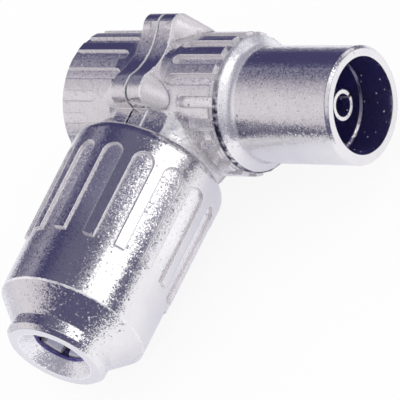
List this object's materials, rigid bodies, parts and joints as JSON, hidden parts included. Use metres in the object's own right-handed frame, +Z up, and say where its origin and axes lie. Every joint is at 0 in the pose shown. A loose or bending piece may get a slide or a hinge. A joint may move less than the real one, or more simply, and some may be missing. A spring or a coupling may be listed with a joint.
{
  "type": "right-angle antenna connector",
  "caption": "Right-angle coaxial aerial socket: ribbed die-cast housing in two halves with a screw-on cable nut at right angles.",
  "frame": {"origin": "on the socket's axis, in the plane of its mouth", "axes": "+X along the socket's axis, out of its mouth; -Y along the cable, out of the nut; +Z up, with both axes level as the connector lies on its side"},
  "size_m": [0.0349, 0.0408, 0.017],
  "materials": {
    "nickel_casting": "bright nickel plate on a zinc die casting, with a fine grain",
    "clamp_metal": "nickel-plated brass",
    "insulator_plastic": "dark moulded plastic",
    "contact_metal": "silver-plated brass",
    "screw_metal": "zinc-plated steel"
  },
  "bodies": {
    "housing": {"front_housing": "nickel_casting", "rear_cover": "nickel_casting", "insulator": "insulator_plastic", "centre_contact": "contact_metal", "terminal_screw": "screw_metal"},
    "clamp": {"clamp_jaws": "clamp_metal"},
    "nut": {"cable_nut": "nickel_casting"}
  },
  "joints": [
    {"name": "clamp_slide", "type": "slide", "parent": "housing", "child": "clamp", "axis": [0, -1, 0], "range_m": [0, 0.01201]},
    {"name": "nut_turn", "type": "hinge", "parent": "clamp", "child": "nut", "pos_m": [-0.0242, 0, 0], "axis": [0, -1, 0], "range_deg": [0, 4320]}
  ],
  "couplings": [
    {"joint": "clamp_slide", "follows": "nut_turn", "m_per_rad": 0.00015915}
  ]
}
